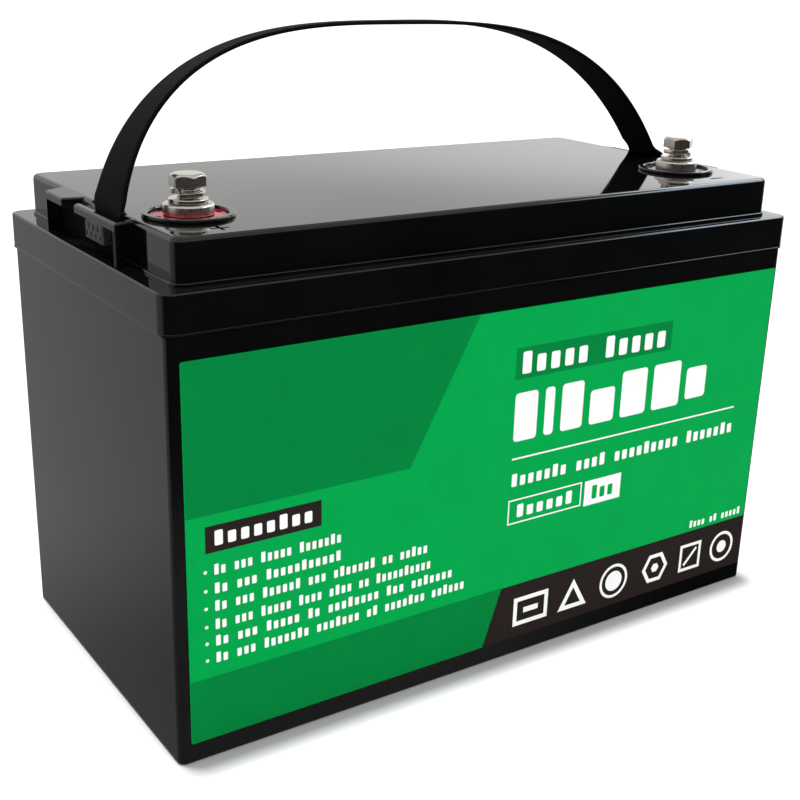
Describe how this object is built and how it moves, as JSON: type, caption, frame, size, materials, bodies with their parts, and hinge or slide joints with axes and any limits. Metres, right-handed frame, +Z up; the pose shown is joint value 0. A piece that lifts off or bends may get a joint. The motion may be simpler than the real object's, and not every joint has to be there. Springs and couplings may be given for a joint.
{
  "type": "deep cycle battery",
  "caption": "Box-shaped lithium deep cycle battery with a raised lid, two bolt terminals, a printed front label and a webbing carry handle.",
  "frame": {"origin": "on the floor, under the middle of the case", "axes": "+X along the case's length, from the positive terminal to the negative one; +Y from the labelled front face to the back; +Z up"},
  "size_m": [0.33, 0.172, 0.2849],
  "materials": {
    "case_black": "gloss ABS",
    "lid_black": "mirror gloss ABS",
    "gasket_rubber": "matte",
    "label_green": "satin printed vinyl",
    "webbing_black": "woven nylon webbing",
    "bezel_black": "gloss",
    "cup_red": "gloss",
    "cup_black": "gloss",
    "post_tin": "tin plated brass",
    "brass": "bright",
    "nickel": "nickel plated steel",
    "copper": "bare copper",
    "steel": "zinc plated",
    "cell_blue": "blue film on an aluminium can",
    "spacer_white": "matte",
    "bare_aluminium": "bare",
    "glass_board": "glass fibre laminate",
    "foam_grey": "closed cell foam",
    "tray_plastic": "matte",
    "connector_white": "satin",
    "probe_black": "satin",
    "cable_red": "silicone",
    "cable_black": "silicone"
  },
  "bodies": {
    "battery": {"case": "case_black", "lid": "lid_black", "lid_gasket": "gasket_rubber", "front_label": "label_green", "strap_end_left": "webbing_black", "strap_end_right": "webbing_black", "positive_terminal_bezel": "bezel_black", "positive_terminal_cup": "cup_red", "positive_terminal_post": "post_tin", "positive_post_seal": "gasket_rubber", "positive_post_nut": "brass", "positive_cable_lug": "copper", "positive_lug_nut": "steel", "negative_terminal_bezel": "bezel_black", "negative_terminal_cup": "cup_black", "negative_terminal_post": "post_tin", "negative_post_seal": "gasket_rubber", "negative_post_nut": "brass", "negative_cable_lug": "copper", "negative_lug_nut": "steel", "cell_1": "cell_blue", "cell_2": "cell_blue", "cell_3": "cell_blue", "cell_4": "cell_blue", "cell_spacer_1": "spacer_white", "cell_spacer_2": "spacer_white", "cell_spacer_3": "spacer_white", "busbar_1": "bare_aluminium", "busbar_2": "bare_aluminium", "busbar_3": "bare_aluminium", "pack_tab_positive": "bare_aluminium", "pack_tab_negative": "bare_aluminium", "board_heat_sink": "bare_aluminium", "end_plate_left": "glass_board", "end_plate_right": "glass_board", "management_board": "glass_board", "pack_band_lower": "steel", "pack_band_upper": "steel", "base_foam": "foam_grey", "end_foam_left": "foam_grey", "end_foam_right": "foam_grey", "board_tray": "tray_plastic", "sense_connector": "connector_white", "temperature_probe": "probe_black", "board_terminal_output": "brass", "board_terminal_pack": "brass", "positive_cable": "cable_red", "negative_cable": "cable_black", "pack_negative_cable": "cable_black"},
    "handle": {"handle_strap": "webbing_black"},
    "positive_washers": {"positive_flat_washer": "nickel", "positive_spring_washer": "nickel"},
    "positive_screw": {"positive_bolt": "nickel"},
    "negative_washers": {"negative_flat_washer": "nickel", "negative_spring_washer": "nickel"},
    "negative_screw": {"negative_bolt": "nickel"}
  },
  "joints": [
    {"name": "handle_swing", "type": "hinge", "parent": "battery", "child": "handle", "pos_m": [0, -0.0035, 0.229], "axis": [0.9971, 0.0767, 0], "range_deg": [-60, 26]},
    {"name": "positive_washer_lift", "type": "slide", "parent": "battery", "child": "positive_washers", "axis": [0, 0, 1], "range_m": [0, 0.0101]},
    {"name": "positive_bolt_turn", "type": "hinge", "parent": "positive_washers", "child": "positive_screw", "pos_m": [-0.1335, -0.041, 0.22], "axis": [0, 0, 1], "range_deg": [0, 2880]},
    {"name": "negative_washer_lift", "type": "slide", "parent": "battery", "child": "negative_washers", "axis": [0, 0, 1], "range_m": [0, 0.0101]},
    {"name": "negative_bolt_turn", "type": "hinge", "parent": "negative_washers", "child": "negative_screw", "pos_m": [0.13, -0.041, 0.22], "axis": [0, 0, 1], "range_deg": [0, 2880]}
  ],
  "couplings": [
    {"joint": "positive_washer_lift", "follows": "positive_bolt_turn", "m_per_rad": 0.00019894},
    {"joint": "negative_washer_lift", "follows": "negative_bolt_turn", "m_per_rad": 0.00019894}
  ]
}
